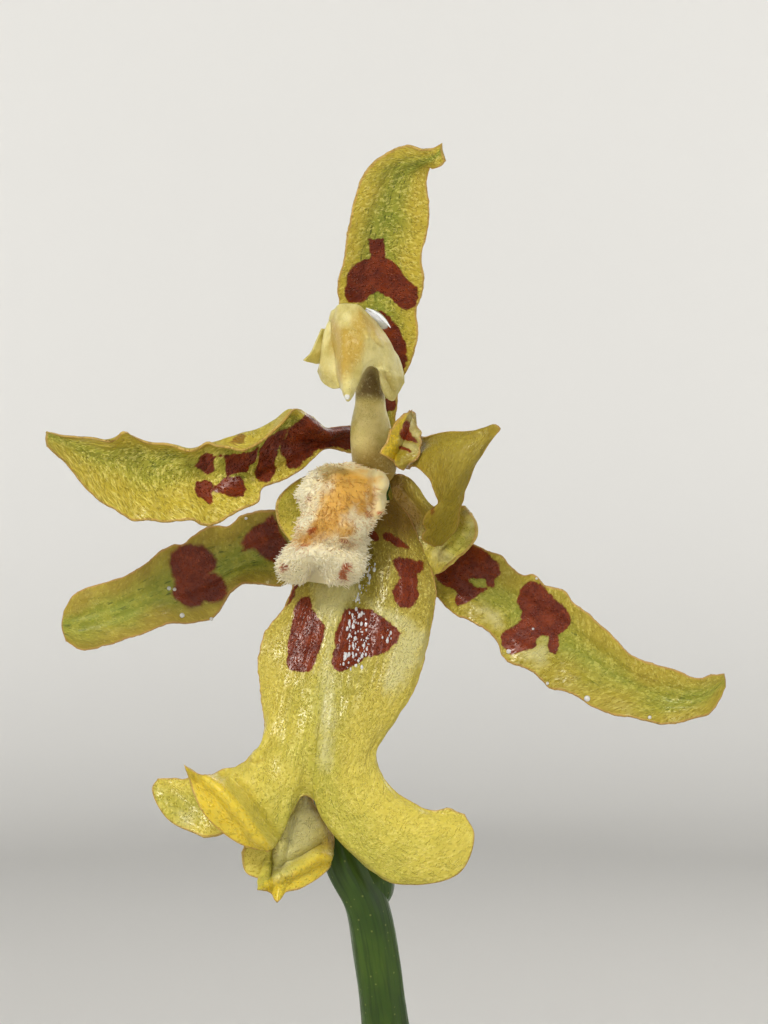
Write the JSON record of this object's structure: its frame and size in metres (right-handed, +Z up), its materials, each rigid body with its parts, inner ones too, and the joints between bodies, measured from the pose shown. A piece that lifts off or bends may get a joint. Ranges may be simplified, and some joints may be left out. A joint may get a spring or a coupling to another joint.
{
  "type": "potted orchid plant",
  "caption": "Small pseudobulb orchid in a plain clay pot of bark, with an arching spike that holds one spotted yellow bloom up in front.",
  "frame": {"origin": "middle of the pot's flat foot, on the surface it stands on", "axes": "+Z up, -Y the way the bloom faces, +X to the right as seen from the front of the bloom"},
  "size_m": [0.0915, 0.0722, 0.1293],
  "materials": {
    "terracotta": "matt fired clay",
    "bark": "rough bark chips",
    "root": "matt, silvery",
    "pseudobulb": "satin",
    "leaf": "satin",
    "dry_sheath": "matt, papery",
    "stalk": "satin",
    "tepal": "satin, finely sparkling, red-brown blotches",
    "lip": "satin, finely sparkling",
    "callus": "velvety",
    "column": "waxy"
  },
  "bodies": {
    "root": {"pot": "terracotta", "bark_medium": "bark", "rhizome_and_roots": "root", "pseudobulb_front": "pseudobulb", "pseudobulb_middle": "pseudobulb", "pseudobulb_back": "pseudobulb", "leaf_front_right": "leaf", "leaf_front_left": "leaf", "leaf_middle_left": "leaf", "leaf_middle_right": "leaf", "leaf_back": "leaf", "leaf_basal": "leaf", "sheath_front_left": "dry_sheath", "sheath_middle": "dry_sheath", "sheath_back": "dry_sheath", "spike": "stalk", "spike_bract_lower": "dry_sheath", "spike_bract_middle": "dry_sheath", "pedicel": "stalk", "dorsal_sepal": "tepal", "petal_left": "tepal", "petal_right": "tepal", "lateral_sepal_left": "tepal", "lateral_sepal_right": "tepal", "lip": "lip", "column": "column", "lip_callus": "callus"}
  },
  "joints": []
}
